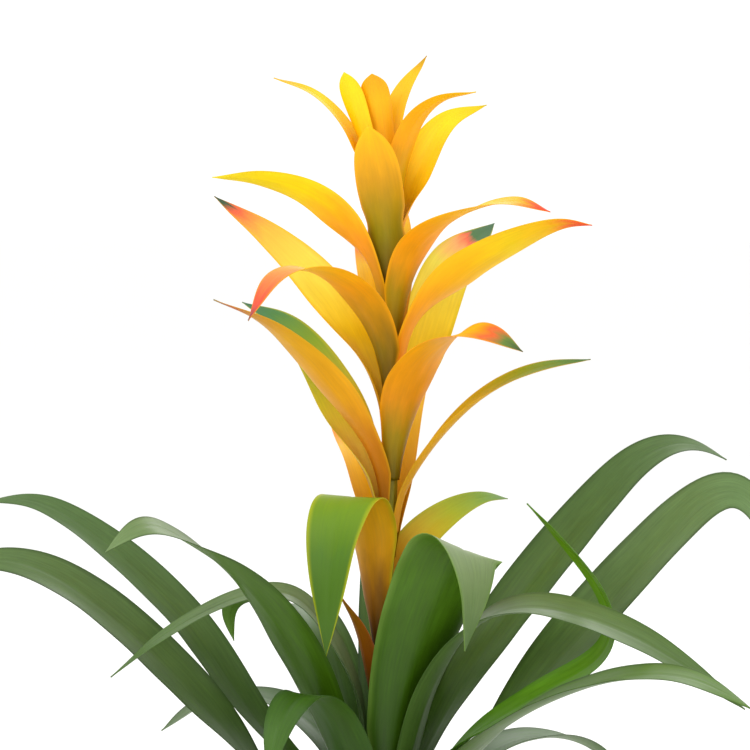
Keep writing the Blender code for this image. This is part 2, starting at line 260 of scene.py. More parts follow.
# Bracts, from the foot of the spike up. The foot is the height where each leaves the stem.
BRACTS = (
    Blade("bract_01", 215, 206, 18, ((10, 232), (17, 256), (30, 277))),
    Blade("bract_02", 330, 218, 18, ((9, 245), (14, 262), (20, 272))),
    Blade("bract_03", 80, 230, 22, ((10, 262), (26, 296), (55, 318))),
    Blade("bract_04", 240, 243, 42, ((11, 272), (18, 310), (31, 337), (47, 334), (60, 300), (66, 247)),
          widest=0.52, fullness=1.6),
    Blade("bract_05", 25, 252, 24, ((10, 280), (18, 300), (42, 320), (68, 330), (85, 328)), roll=45),
    Blade("bract_06", 120, 284, 26, ((11, 312), (30, 348), (70, 376))),
    Blade("bract_07", 348, 312, 20, ((12, 340), (33, 371), (62, 398), (92, 413), (122, 418)),
          channel=0.4, twist=50),
    Blade("bract_08", 155, 314, 32, ((15, 350), (36, 394), (66, 434), (99, 449)), roll=-40),
    Blade("bract_09", 70, 296, 26, ((12, 326), (32, 372), (75, 406))),
    Blade("bract_10", 215, 331, 28, ((14, 362), (40, 398), (85, 439), (123, 455)), roll=25, twist=-30),
    Blade("bract_11", 293, 344, 34, ((11, 372), (27, 408), (66, 434), (96, 436), (120, 427)),
          twist=40, swing=29),
    Blade("bract_12", 55, 350, 34, ((12, 378), (24, 404), (42, 438), (66, 472), (116, 497)),
          roll=30, fullness=3),
    Blade("bract_13", 110, 395, 26, ((10, 424), (26, 456), (66, 490))),
    Blade("bract_14", 150, 376, 30, ((16, 412), (45, 454), (84, 488), (127, 514)), roll=-40),
    Blade("bract_15", 228, 400, 34, ((12, 428), (32, 454), (70, 471), (100, 468), (122, 444))),
    Blade("bract_16", 345, 404, 30, ((14, 438), (38, 464), (75, 487), (103, 498), (121, 497)), roll=-40),
    Blade("bract_17", 85, 418, 24, ((12, 447), (34, 485), (75, 515))),
    Blade("bract_18", 302, 430, 28, ((10, 458), (24, 485), (58, 503), (96, 511), (120, 505)),
          twist=30, swing=30),
    Blade("bract_19", 262, 456, 30, ((10, 488), (21, 520), (27, 543), (32, 555)), swing=-8, fullness=5),
    Blade("bract_20", 195, 443, 24, ((15, 478), (44, 511), (78, 524), (108, 525)), roll=45),
    Blade("bract_21", 100, 458, 22, ((11, 486), (28, 520), (60, 545))),
    Blade("bract_22", 20, 468, 26, ((10, 500), (20, 532), (38, 559), (64, 569)), roll=45),
    Blade("bract_23", 320, 482, 18, ((10, 526), (21, 556), (40, 570), (68, 574)), roll=-15),
    Blade("bract_24", 100, 504, 18, ((9, 530), (20, 556), (42, 576))),
    Blade("bract_25", 184, 490, 16, ((13, 530), (24, 556), (42, 575), (66, 584)), roll=-30),
    Blade("bract_26", 264, 520, 20, ((7, 548), (11, 572), (15, 586)), swing=-4, fullness=8),
    Blade("bract_27", 208, 505, 17, ((11, 540), (19, 566), (26, 587)), twist=45, fullness=8),
    Blade("bract_28", 25, 518, 17, ((7, 548), (14, 576), (30, 598)), roll=30),
)
SCAPE_ROUTE = ((0, 110), (1, 230), (6, 340), (7, 420), (2, 500), (-2, 560))
LEAVES = RIGHT_FAN + LEFT_FAN + BACK_FAN
print(len(LEAVES), "leaves and", len(BRACTS), "bracts")

# %% [markdown]
# ## One smooth path
#
# A midrib has no corners, so its few points are joined by a curve that passes through them all and
# never doubles back between them. It is then measured into even steps and softened a little, as
# light on a glossy leaf shows even a slight change of bend.

# %% Path tools
def smooth_route(points, count):
    """Evenly spaced points along one smooth curve through the given ones."""
    knots = np.asarray(points, float)
    knots = np.vstack((2 * knots[0] - knots[1], knots, 2 * knots[-1] - knots[-2]))
    stretch = []
    for a, b, c, d in zip(knots, knots[1:], knots[2:], knots[3:]):
        t0 = 0.0
        t1 = t0 + np.linalg.norm(b - a) ** 0.5
        t2 = t1 + np.linalg.norm(c - b) ** 0.5
        t3 = t2 + np.linalg.norm(d - c) ** 0.5
        t = np.linspace(t1, t2, 48, endpoint=False)[:, None]
        ab = (t1 - t) / (t1 - t0) * a + (t - t0) / (t1 - t0) * b
        bc = (t2 - t) / (t2 - t1) * b + (t - t1) / (t2 - t1) * c
        cd = (t3 - t) / (t3 - t2) * c + (t - t2) / (t3 - t2) * d
        abc = (t2 - t) / (t2 - t0) * ab + (t - t0) / (t2 - t0) * bc
        bcd = (t3 - t) / (t3 - t1) * bc + (t - t1) / (t3 - t1) * cd
        stretch.append((t2 - t) / (t2 - t1) * abc + (t - t1) / (t2 - t1) * bcd)
    fine = np.vstack(stretch + [knots[-2:-1]])
    walked = np.concatenate(((0.0,), np.cumsum(np.linalg.norm(np.diff(fine, axis=0), axis=1))))
    wanted = np.linspace(0.0, walked[-1], count)
    return np.stack([np.interp(wanted, walked, axis) for axis in fine.T], axis=1)


def soften(values, passes):
    """Each value drawn towards its two neighbours, with the ends left where they are."""
    values = values.copy()
    for _ in range(passes):
        values[1:-1] = (values[:-2] + 2 * values[1:-1] + values[2:]) / 4
    return values


def ease(along, start, end):
    """0 before start, 1 after end, and a smooth climb between them."""
    part = np.clip((along - start) / (end - start), 0.0, 1.0)
    return part * part * (3.0 - 2.0 * part)


def unit(vectors):
    return vectors / np.linalg.norm(vectors, axis=-1, keepdims=True)


scape_line = smooth_route(SCAPE_ROUTE, 60)


def scape_centre(height):
    """Where the middle of the stem is at a height: the spike leans a little, then back."""
    return float(np.interp(height, scape_line[:, 1], scape_line[:, 0]))


print("the spike's lean at its widest:", round(scape_line[:, 0].max(), 1), "mm")

# %% [markdown]
# ## From midrib to blade
#
# Across its midrib a strap leaf is a shallow channel that carries rain to its foot. Near the foot
# it wraps the stem, and where it folds over it has to flatten, as a steel tape does. So each row is
# an arc whose radius comes from how far the row is from the stem and how sharply the midrib bends
# there. A groove runs down the middle, and the thin margins wander a little, because they grow at
# their own pace.

# %% Blade tools
LEAF_ROWS, BRACT_ROWS = 110, 76
COLUMNS = 24
LEAF_THICKNESS, BRACT_THICKNESS = 1.0, 0.8
TIP_WIDTH = 0.5
EDGE_THINNING = 0.6
GROOVE_WIDTH = 0.07
RUFFLE_LENGTH = 90.0
FOOT_OPENING = 0.3          # share of its length in which a foot opens from the stem

Habit = namedtuple("Habit", "rows thickness softening groove ruffle foot_width foot_curl foot_wrap")
LEAF_HABIT = Habit(LEAF_ROWS, LEAF_THICKNESS, softening=26, groove=0.45, ruffle=0.25,
                   foot_width=0.6, foot_curl=8.0, foot_wrap=0.9)
BRACT_HABIT = Habit(BRACT_ROWS, BRACT_THICKNESS, softening=8, groove=0.25, ruffle=0.2,
                    foot_width=0.6, foot_curl=12.0, foot_wrap=0.95)


def blade_course(shape, foot, sheath, habit):
    """The midrib, and which way the blade's left side and upper face point along it."""
    facing = radians(shape.heading)
    outward = np.array((cos(facing), sin(facing), 0.0))
    leftward = np.array((-sin(facing), cos(facing), 0.0))
    route = soften(smooth_route((foot, sheath, *shape.path), habit.rows + 1), habit.softening)
    along = np.linspace(0.0, 1.0, habit.rows + 1)
    start = np.array((scape_centre(foot[1]), 0.0, 0.0))
    midrib = start + np.outer(route[:, 0], outward) + np.outer(route[:, 1], (0.0, 0.0, 1.0))
    midrib += np.outer(shape.swing * along ** 2, leftward)
    tangent = unit(np.gradient(midrib, axis=0))
    side = unit(leftward - (tangent @ leftward)[:, None] * tangent)
    upper = np.cross(tangent, side)
    turn = np.radians(shape.roll * ease(along, 0.15, 0.5) + shape.twist * along ** 2)[:, None]
    side, upper = np.cos(turn) * side + np.sin(turn) * upper, np.cos(turn) * upper - np.sin(turn) * side
    return route[:, 0], along, midrib, tangent, side, upper


def blade_section(shape, foot, habit, reach, along, midrib, tangent):
    """How wide the blade is along its midrib, and the radius of the arc that it makes across."""
    swell = habit.foot_width + (1.0 - habit.foot_width) * ease(along, 0.0, shape.widest)
    taper = np.clip((along - shape.widest) / (1.0 - shape.widest), 0.0, 1.0)
    span = np.maximum(shape.width * swell * (1.0 - taper ** shape.fullness), TIP_WIDTH)
    step = np.linalg.norm(np.diff(midrib, axis=0), axis=1).mean()
    bend = soften(np.linalg.norm(np.gradient(tangent, axis=0), axis=1) / step, habit.softening)
    opening = max(habit.foot_curl - foot[0], 0.0) * ease(along, 0.0, FOOT_OPENING)
    least = foot[0] + opening
    curl = np.clip(reach, least, np.maximum(shape.channel * shape.width, least))
    curl = soften(curl * (1.0 + (bend * shape.width) ** 2), habit.softening)
    return span, curl


def blade_relief(habit, across, along, length, chance):
    """How far the skin stands off its plain arc: the groove, and the wandering margins."""
    groove = -habit.groove * np.exp(-(across / GROOVE_WIDTH) ** 2)
    ends = ease(along, 0.1, 0.3) * ease(1.0 - along, 0.0, 0.1)
    relief = groove * ease(1.0 - along, 0.0, 0.2)
    for turn in (1.0, 2.3):
        phase = chance.uniform(0.0, 2 * pi, 2)
        beat = 2 * pi * turn * length / RUFFLE_LENGTH * along
        margin = np.where(across > 0, np.sin(beat + phase[0]), np.sin(beat + phase[1]))
        relief = relief + habit.ruffle / turn * margin * np.abs(across) ** 3 * ends
    return relief


def blade_skins(shape, foot, sheath, habit, chance):
    """Two grids of points, the upper and the lower skin of one leaf or bract, and its length."""
    reach, along, midrib, tangent, side, upper = blade_course(shape, foot, sheath, habit)
    span, curl = blade_section(shape, foot, habit, reach, along, midrib, tangent)
    wrap = np.minimum(span / 2.0 / curl, habit.foot_wrap)[:, None]
    length = np.linalg.norm(np.diff(midrib, axis=0), axis=1).sum()
    across = np.sin(np.linspace(-pi / 2, pi / 2, COLUMNS + 1))[None, :]
    relief = blade_relief(habit, across, along[:, None], length, chance)[:, :, None]
    angle = (wrap * across)[:, :, None]
    side, upper, radius = side[:, None], upper[:, None], curl[:, None, None]
    normal = np.cos(angle) * upper - np.sin(angle) * side
    skin = midrib[:, None] + radius * (np.sin(angle) * side + (1.0 - np.cos(angle)) * upper)
    skin = skin + normal * relief
    thin = (1.0 - EDGE_THINNING * across ** 2)[:, :, None] * habit.thickness / 2
    return skin + normal * thin, skin - normal * thin, length


print("a leaf has", (LEAF_ROWS + 1) * (COLUMNS + 1) * 2, "points and a bract",
      (BRACT_ROWS + 1) * (COLUMNS + 1) * 2)

# %% [markdown]
# ## From skins to a piece
#
# The two skins are closed round the margin into one solid, and each keeps a finish of its own,
# because the upper side of a bromeliad leaf is waxier and the underside paler. The finishes differ
# in colour, and on some leaves the grey-green of the upper side is painted sheen. Two maps go with
# the mesh: one runs from edge to edge and from foot to tip, for colours that follow the blade, and
# one is in millimetres, so that veins and flecks have their real size on any blade.

# %% Make one blade
def new_piece(name, points, faces, finishes):
    """A smooth mesh piece from points in millimetres."""
    mesh = bpy.data.meshes.new(name)
    mesh.from_pydata((np.asarray(points) * MM).tolist(), [], faces)
    for finish in finishes:
        mesh.materials.append(finish)
    mesh.shade_smooth()
    piece = bpy.data.objects.new(name, mesh)
    scene.collection.objects.link(piece)
    return piece


def blade_faces(rows, columns):
    """Faces of a closed blade: upper skin, lower skin, and the strip round the margin."""
    under = rows * columns
    index = np.arange(under).reshape(rows, columns)
    a, b = index[:-1, :-1], index[:-1, 1:]
    c, d = index[1:, 1:], index[1:, :-1]
    top = np.stack((d, c, b, a), axis=-1).reshape(-1, 4)
    low = np.stack((a, b, c, d), axis=-1).reshape(-1, 4) + under
    ring = np.concatenate((index[:, 0], index[-1, 1:], index[-2::-1, -1], index[0, -2:0:-1]))
    after = np.roll(ring, -1)
    rim = np.stack((after, ring, ring + under, after + under), axis=-1)
    return top, low, rim


def make_blade(name, skins, length, width, finishes):
    """Close two skins into one piece with an upper and a lower finish."""
    rows, columns, _ = skins[0].shape
    top, low, rim = blade_faces(rows, columns)
    points = np.concatenate([skin.reshape(-1, 3) for skin in skins])
    faces = np.concatenate((top, low, rim))
    piece = new_piece(name, points, faces.tolist(), finishes)
    mesh = piece.data
    across = np.tile(np.sin(np.linspace(-pi / 2, pi / 2, columns)) / 2 + 0.5, rows)
    along = np.repeat(np.linspace(0.0, 1.0, rows), columns)
    place = np.stack((np.tile(across, 2), np.tile(along, 2)), axis=1)[faces.ravel()]
    mesh.uv_layers.new(name="blade").uv.foreach_set("vector", place.ravel())
    size = (place - (0.5, 0.0)) * (width, length)
    mesh.uv_layers.new(name="millimetres").uv.foreach_set("vector", size.ravel())
    slots = np.concatenate((np.zeros(len(top), int), np.ones(len(low) + len(rim), int)))
    mesh.polygons.foreach_set("material_index", slots)
    return piece


def stand_for(piece, node):
    """The piece takes a plain piece's place: it joins the body, and the plain piece is hidden."""
    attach(piece, BODY)
    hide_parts(node)
    return piece


print("blade faces:", sum(len(part) for part in blade_faces(LEAF_ROWS + 1, COLUMNS + 1)))

# %% [markdown]
# ## Leaf and bract skin
#
# Both are living skin under a thin cuticle of wax, an IOR near 1.45. Light enters the blade, so a
# little of it is scattered below the surface, and more in a bract, which is thin and has almost no
# green to stop it. Colours run from foot to tip, and at the tip a bract changes in bands: gold,
# then coral, then a green point. Parallel veins a millimetre or so apart make a faint stripe.

# %% Blade skin
VEIN_SPACING = 1.3
FLECK_LENGTH = 26.0
TIP_WANDER = 0.025
RICHNESS = 1.05
MARGIN_WIDTH = 0.1
WAX_IOR = 1.45


def blade_skin(name, colours, margin, sheen, glow, depth, vein_contrast, bump):
    """Skin whose colours, as (place from foot to tip, hex) stops, follow the blade."""
    material, tree = new_material(name)
    blade_map = add(tree, "UVMap", uv_map="blade").outputs[0]
    mm_map = add(tree, "UVMap", uv_map="millimetres").outputs[0]
    place = add(tree, "SeparateXYZ", {0: blade_map})
    streak_map = add(tree, "Mapping", {0: mm_map, "Scale": (1 / VEIN_SPACING, 1 / FLECK_LENGTH, 1)})
    streak = add(tree, "TexNoise", {"Vector": streak_map.outputs[0], "Scale": 1.0, "Detail": 3.0})
    cloud_map = add(tree, "Mapping", {0: mm_map, "Scale": (1 / 9, 1 / FLECK_LENGTH, 1)})
    cloud = add(tree, "TexNoise", {"Vector": cloud_map.outputs[0], "Scale": 1.0, "Detail": 4.0})

    wander = add(tree, "MapRange", {0: cloud.outputs[0], 1: 0.3, 2: 0.7, 3: -TIP_WANDER, 4: TIP_WANDER})
    shifted = add(tree, "Math", {0: place.outputs[1], 1: wander.outputs[0]}, operation="ADD")
    body = add(tree, "ValToRGB", {0: shifted.outputs[0]}, stops=colours)
    off_middle = add(tree, "Math", {0: place.outputs[0], 1: 0.5}, operation="SUBTRACT")
    off_middle = add(tree, "Math", {0: off_middle.outputs[0]}, operation="ABSOLUTE")
    edge = add(tree, "MapRange", {0: off_middle.outputs[0], 1: 0.5 - MARGIN_WIDTH, 2: 0.5},
               interpolation_type="SMOOTHSTEP")
    edge = add(tree, "Math", {0: edge.outputs[0], 1: 0.6}, operation="MULTIPLY")
    edged = add(tree, "Mix", {0: edge.outputs[0], 6: body.outputs[0], 7: linear(margin)},
                data_type="RGBA")
    stripe = add(tree, "MapRange", {0: streak.outputs[0], 1: 0.3, 2: 0.7,
                                    3: 1 - vein_contrast, 4: 1 + vein_contrast})
    mottle = add(tree, "MapRange", {0: cloud.outputs[0], 1: 0.25, 2: 0.75, 3: 0.92, 4: 1.07})
    shade = add(tree, "Math", {0: stripe.outputs[0], 1: mottle.outputs[0]}, operation="MULTIPLY")
    colour = add(tree, "HueSaturation", {"Saturation": RICHNESS, "Value": shade.outputs[0],
                                         "Color": edged.outputs[2]})
    rough = add(tree, "MapRange", {0: streak.outputs[0], 1: 0.3, 2: 0.7, 3: sheen - 0.05, 4: sheen + 0.07})
    veins = add(tree, "Bump", {"Strength": bump, "Distance": 0.15 * MM, "Height": streak.outputs[0]})
    shader = add(tree, "BsdfPrincipled", {
        "Base Color": colour.outputs[0],
        "Roughness": rough.outputs[0],
        "IOR": WAX_IOR,
        "Specular IOR Level": 0.35,
        "Subsurface Weight": glow,
        "Subsurface Radius": (1.0, 0.8, 0.4),
        "Subsurface Scale": depth * MM,
        "Normal": veins.outputs[0],
    })
    return surface(material, shader)


print("a vein every", VEIN_SPACING, "mm, and a tinted margin on",
      MARGIN_WIDTH, "of the width at each side")

# %% [markdown]
# ## The colours of each blade
#
# A look lists the underside and the upper side, from foot to tip. Bracts near the foot of the
# spike are still half leaf, orange-brown to green. Those in the middle are gold with coral and
# green tips, and those at the top are lemon.

# %% Looks
Look = namedtuple("Look", "under upper margin")
LEAF_LOOK = Look(
    under=((0.0, "#2C470E"), (0.4, "#3C5A1A"), (1.0, "#4E6C34")),
    upper=((0.0, "#2E4A10"), (0.45, "#42602A"), (1.0, "#546E40")),
    margin="#2B441A",
)
BRACT_LOOK = Look(
    under=((0.0, "#6E5A08"), (0.25, "#96820E"), (0.45, "#E49C08"), (0.8, "#F2B814"),
           (0.93, "#EE7A3C"), (1.0, "#5A6A3A")),
    upper=((0.0, "#B98A0C"), (0.3, "#EBA60C"), (0.75, "#F0C422"), (0.9, "#EE7A4A"), (1.0, "#4F6B3E")),
    margin="#EEB018",
)
LOOKS = {
    # Leaves in view: deep green undersides on the steep ones; the grey-green of the upper sides is painted
    # sheen.
    # leaf_01: the pale grey-green round the middle of the upper side, where the leaf folds over, is a
    # painted highlight.
    "leaf_01": Look(((0.0, "#28430A"), (0.4, "#395A10"), (0.65, "#466A18"), (1.0, "#4E6C2C")),
                    ((0.0, "#3A5A1C"), (0.6, "#8A9C6C"), (0.85, "#76895A"), (1.0, "#566F40")), "#6E8C40"),
    # leaf_02: the lighter grey-green near the foot of the upper side is painted sheen.
    "leaf_02": Look(((0.0, "#334F18"), (0.5, "#546E36"), (1.0, "#455F26")),
                    ((0.0, "#38561E"), (0.3, "#64794A"), (0.6, "#566E3A"), (1.0, "#48622A")), "#38541E"),
    "leaf_03": Look(((0.0, "#31500E"), (0.5, "#42601F"), (1.0, "#52693C")),
                    ((0.0, "#31500F"), (0.4, "#435F22"), (0.75, "#4C6732"), (1.0, "#586F44")), "#28420E"),
    "leaf_04": Look(((0.0, "#325606"), (0.5, "#50800A"), (1.0, "#567E12")),
                    ((0.0, "#325606"), (0.5, "#50800A"), (1.0, "#567E12")), "#3F6C08"),
    "leaf_05": Look(((0.0, "#2C4A0C"), (0.5, "#466226"), (1.0, "#556E3C")),
                    ((0.0, "#2E4C0E"), (0.35, "#405E20"), (0.7, "#566F3C"), (1.0, "#627C4C")), "#263E0E"),
    "leaf_06": Look(((0.0, "#28430A"), (0.5, "#42601C"), (1.0, "#4E6C2C")),
                    ((0.0, "#2E4C10"), (0.5, "#4C6A22"), (1.0, "#54722E")), "#2C4812"),
    # leaf_07: the paler grey-green round the middle of its arch is painted sheen.
    "leaf_07": Look(((0.0, "#3C5A24"), (0.5, "#6A7E54"), (1.0, "#526C38")),
                    ((0.0, "#3C5A24"), (0.45, "#72855E"), (0.8, "#5E7646"), (1.0, "#4A6430")), "#4C6636"),
    "leaf_08": Look(((0.0, "#3A5A18"), (1.0, "#4E7026")), ((0.0, "#3A5A18"), (1.0, "#4E7026")), "#3A5A1A"),
    "leaf_09": Look(((0.0, "#223E06"), (0.5, "#3A5A0C"), (0.85, "#526E32"), (1.0, "#5E7842")),
                    ((0.0, "#223E06"), (0.4, "#39580C"), (0.75, "#5A7238"), (1.0, "#6C8254")), "#274208"),
    "leaf_10": Look(((0.0, "#22400A"), (0.5, "#2C4C0C"), (1.0, "#3C5C18")),
                    ((0.0, "#26460A"), (0.5, "#2E5010"), (1.0, "#3E601A")), "#2E4E10"),
    "leaf_11": Look(((0.0, "#36521C"), (0.5, "#465F2C"), (1.0, "#526C40")),
                    ((0.0, "#34501A"), (0.5, "#465F2C"), (1.0, "#506A3C")), "#324E1C"),
    # leaf_12: its underside's near-black green is the leaf's deep green darkened with painted shade.
    "leaf_12": Look(((0.0, "#1E3606"), (0.5, "#2C440E"), (1.0, "#38521C")),
                    ((0.0, "#24400A"), (0.5, "#48602E"), (1.0, "#546C3C")), "#22380C"),
    # The half leafy bracts at the foot of the spike.
    "bract_01": Look(((0.0, "#5C3A06"), (0.4, "#9A5210"), (0.7, "#AA6614"), (1.0, "#B07A2A")),
                     ((0.0, "#7A4A0A"), (1.0, "#B07022")), "#BE6C48"),
    "bract_02": Look(((0.0, "#5A3A06"), (0.5, "#B06A0C"), (1.0, "#C88214")),
                     ((0.0, "#7A4A0A"), (1.0, "#C88214")), "#C27A12"),
    "bract_04": Look(((0.0, "#402606"), (0.08, "#6C4606"), (0.18, "#A66C08"), (0.3, "#E2A014"),
                      (0.48, "#E0AC14"), (1.0, "#78901A")),
                     ((0.0, "#8A8A12"), (0.46, "#869C10"), (0.58, "#688A0E"), (0.72, "#4C701C"),
                      (1.0, "#38580E")), "#AEB010"),
    "bract_05": Look(((0.0, "#8A5A0A"), (0.3, "#E0982C"), (0.6, "#BCA830"), (1.0, "#7E9848")),
                     ((0.0, "#B87A22"), (0.3, "#E09E3C"), (0.48, "#C8A836"), (0.68, "#A2AC38"),
                      (0.85, "#7E9C44"), (1.0, "#728E62")), "#A8A82C"),
    "bract_07": Look(((0.0, "#BE7C06"), (0.3, "#E4A206"), (0.6, "#DCA408"), (0.8, "#9A9612"),
                      (1.0, "#4E7034")),
                     ((0.0, "#DC9A08"), (0.55, "#C8A410"), (0.75, "#8C921E"), (0.9, "#607E38"),
                      (1.0, "#446438")), "#D4A20C"),
    # The gold bracts with coral and green tips.
    "bract_08": Look(((0.0, "#9E6C12"), (0.35, "#E2A424"), (0.8, "#C8A030"), (1.0, "#4A7048")),
                     ((0.0, "#DCA634"), (0.3, "#EAC04E"), (0.5, "#C4B83A"), (0.68, "#88A83C"),
                      (0.86, "#508048"), (1.0, "#466C54")), "#C8BE38"),
    "bract_10": Look(((0.0, "#9A5A0A"), (0.2, "#CC7C22"), (0.4, "#E09C24"), (0.7, "#DCA228"),
                      (0.86, "#C88A24"), (0.93, "#C0603A"), (1.0, "#34503A")),
                     ((0.0, "#E0A020"), (0.8, "#D9A828"), (0.92, "#B0763C"), (1.0, "#3E583E")), "#D8A438"),
    "bract_11": Look(((0.0, "#6A5A08"), (0.16, "#9C800E"), (0.3, "#DA8C0C"), (0.45, "#EE9A0E"),
                      (0.62, "#F0A626"), (0.74, "#EF9A4A"), (0.84, "#EE6A48"), (0.93, "#6A7A3C"),
                      (1.0, "#3F4E2C")),
                     ((0.0, "#E59A10"), (0.55, "#EFA82E"), (0.74, "#F2B424"), (0.84, "#EF6E48"),
                      (0.92, "#5F7A34"), (1.0, "#3A4A2C")), "#EFA42A"),
    "bract_12": Look(((0.0, "#B9900C"), (0.5, "#E4C020"), (0.8, "#E8885A"), (0.9, "#466E44"),
                      (1.0, "#3A583C")),
                     ((0.0, "#EEB41E"), (0.25, "#F4CA34"), (0.52, "#EED64A"), (0.7, "#E6DC5C"),
                      (0.8, "#EEB070"), (0.85, "#EE7458"), (0.885, "#4A7240"),
                      (1.0, "#44684A")), "#D6C430"),
    "bract_14": Look(((0.0, "#B88606"), (0.4, "#EDB114"), (0.8, "#EFA034"), (0.92, "#EE6A4A"),
                      (1.0, "#30442E")),
                     ((0.0, "#E6AE1A"), (0.3, "#F0C838"), (0.6, "#ECD658"), (0.77, "#EEB850"),
                      (0.9, "#EF6E50"), (0.955, "#3C563A"), (1.0, "#2A3C2E")), "#E9B624"),
    "bract_15": Look(((0.0, "#5E4C06"), (0.14, "#86700A"), (0.3, "#CC920A"), (0.44, "#F0A008"),
                      (0.6, "#F4B010"), (0.74, "#F4BC26"), (0.84, "#F0855A"), (0.92, "#EC5E4A"),
                      (0.955, "#6E4A44"), (1.0, "#4E3A3C")),
                     ((0.0, "#E59A08"), (0.6, "#F0B21C"), (0.8, "#F08A50"), (0.92, "#EC5E4A"),
                      (1.0, "#5A4444")), "#F0AA1C"),
    "bract_16": Look(((0.0, "#DE8E04"), (0.3, "#F2A806"), (0.48, "#F4B80C"), (0.68, "#F0CC1C"),
                      (0.83, "#F0BC34"), (0.93, "#EE7048"), (1.0, "#DE4E3C")),
                     ((0.0, "#E89404"), (0.25, "#F3A506"), (0.5, "#F6BA0C"), (0.75, "#F2D01C"),
                      (0.87, "#F0A040"), (0.95, "#EE6A48"), (1.0, "#E0503C")), "#EEBC16"),
    "bract_18": Look(((0.0, "#7E720A"), (0.16, "#A08A0C"), (0.28, "#DC9808"), (0.42, "#F0A006"),
                      (0.7, "#F2B810"), (0.9, "#EE7A44"), (1.0, "#E0503C")),
                     ((0.0, "#E89606"), (0.5, "#F2B40E"), (0.7, "#EEC41A"), (0.86, "#EEB02C"),
                      (0.94, "#EE6448"), (1.0, "#DE4A3C")), "#F0AE10"),
    # The lemon ones at the top.
    # bract_19: the olive foot of the underside is its own colour; the darker dull gold up to the middle is
    # painted shade, as that part faces away from the light.
    "bract_19": Look(((0.0, "#4E3204"), (0.12, "#6A5A0A"), (0.36, "#8A8014"), (0.52, "#A88A12"),
                      (0.68, "#C8920E"), (0.86, "#EEAA10"), (1.0, "#F2C034")),
                     ((0.0, "#F0A80E"), (0.8, "#F4C034"), (0.93, "#F0A880"), (1.0, "#F0B850")), "#F2AE10"),
    "bract_20": Look(((0.0, "#8A7A0E"), (0.14, "#C08C0C"), (0.3, "#EC9806"), (0.46, "#F2AE10"),
                      (0.62, "#F2D42E"), (1.0, "#E8D444")),
                     ((0.0, "#D09006"), (0.3, "#EE9C06"), (0.5, "#F2AE0A"), (0.68, "#F2C616"),
                      (1.0, "#E4C62C")), "#F0BC12"),
    # bract_22: the lighter gold low on the upper side is painted light shining through the thin bract.
    "bract_22": Look(((0.0, "#D08004"), (0.4, "#F2A806"), (1.0, "#E8C21E")),
                     ((0.0, "#EC9C10"), (0.25, "#F6B830"), (0.45, "#F8C422"), (0.8, "#F4CE1E"),
                      (0.95, "#E2C020"), (1.0, "#B8A822")), "#EFBC10"),
    "bract_23": Look(((0.0, "#6E8014"), (0.16, "#8F9816"), (0.34, "#C89E0C"), (0.5, "#EAA408"),
                      (0.8, "#F4B60A"), (1.0, "#E8B41C")),
                     ((0.0, "#D8A00A"), (0.5, "#F6B40A"), (1.0, "#F0C42A")), "#EEAC0C"),
    "bract_25": Look(((0.0, "#E89806"), (0.4, "#F5AE08"), (1.0, "#E8B434")),
                     ((0.0, "#F0A006"), (0.4, "#F6B80A"), (0.75, "#F2CC20"), (1.0, "#E0A848")), "#F0BA18"),
    "bract_26": Look(((0.0, "#8A7A0E"), (0.25, "#A8900E"), (0.42, "#E4A40A"), (0.75, "#F5B40A"),
                      (1.0, "#E8A00A")),
                     ((0.0, "#F2B00A"), (1.0, "#E8B010")), "#EFAC0A"),
    "bract_27": Look(((0.0, "#E09808"), (0.35, "#F5BA0A"), (0.7, "#F7CC0E"), (1.0, "#F2D024")),
                     ((0.0, "#F2B40A"), (1.0, "#F2D034")), "#F2C40E"),
    "bract_28": Look(((0.0, "#E09A08"), (0.5, "#F4B60A"), (0.85, "#E8AE14"), (1.0, "#A87C1C")),
                     ((0.0, "#F0A808"), (0.5, "#F6C00C"), (0.85, "#EAB618"), (1.0, "#A87C1C")), "#F0BA10"),
}
print(len(LOOKS), "blades have a look of their own")

# %% [markdown]
# ## Grow the leaves
#
# The leaves stand in three fans round the short fat base of the plant, the oldest outside and
# lowest. Each sits one layer further out than the last, so that no two share the same space.

# %% Leaves
LEAF_LAYER = 2.1
LEAF_DROP = 4.2
FIRST_LEAF_RADIUS = 8.0
FIRST_LEAF_HEIGHT = 130.0
SHEATH_RISE = 24.0
SHEATH_LEAN = 0.22
LEAF_SHEEN, BRACT_SHEEN = 0.42, 0.52
BLADE_SEED = 7


def skins_of(name, look, kind):
    """The upper and lower finish of one blade."""
    if kind == "leaf":
        habit = {"sheen": LEAF_SHEEN, "glow": 0.08, "depth": 0.6, "vein_contrast": 0.14, "bump": 0.35}
    else:
        habit = {"sheen": BRACT_SHEEN, "glow": 0.08, "depth": 0.4, "vein_contrast": 0.05, "bump": 0.22}
    upper = blade_skin(f"{name}_waxy_cuticle", look.upper, look.margin, **habit)
    under = blade_skin(f"{name}_pale_underside", look.under, look.margin, **habit)
    return upper, under


chance = np.random.default_rng(BLADE_SEED)
leaf_lengths = []
for fan in (RIGHT_FAN, LEFT_FAN, BACK_FAN):
    for layer, shape in enumerate(fan):
        radius = FIRST_LEAF_RADIUS + LEAF_LAYER * layer
        height = FIRST_LEAF_HEIGHT - LEAF_DROP * layer
        sheath = (radius + SHEATH_LEAN * SHEATH_RISE, height + SHEATH_RISE)
        upper_skin, lower_skin, length = blade_skins(shape, (radius, height), sheath, LEAF_HABIT, chance)
        finishes = skins_of(shape.name, LOOKS.get(shape.name, LEAF_LOOK), "leaf")
        piece = make_blade(f"{shape.name}_strap", (upper_skin, lower_skin), length, shape.width, finishes)
        stand_for(piece, shape.name)
        leaf_lengths.append(length)
print("leaves are", round(min(leaf_lengths)), "to", round(max(leaf_lengths)), "mm long")

# %% [markdown]
# ## Grow the bracts
#
# A bract leaves the stalk almost upright and opens outwards further up, so the lower part of each
# hides the foot of the next.

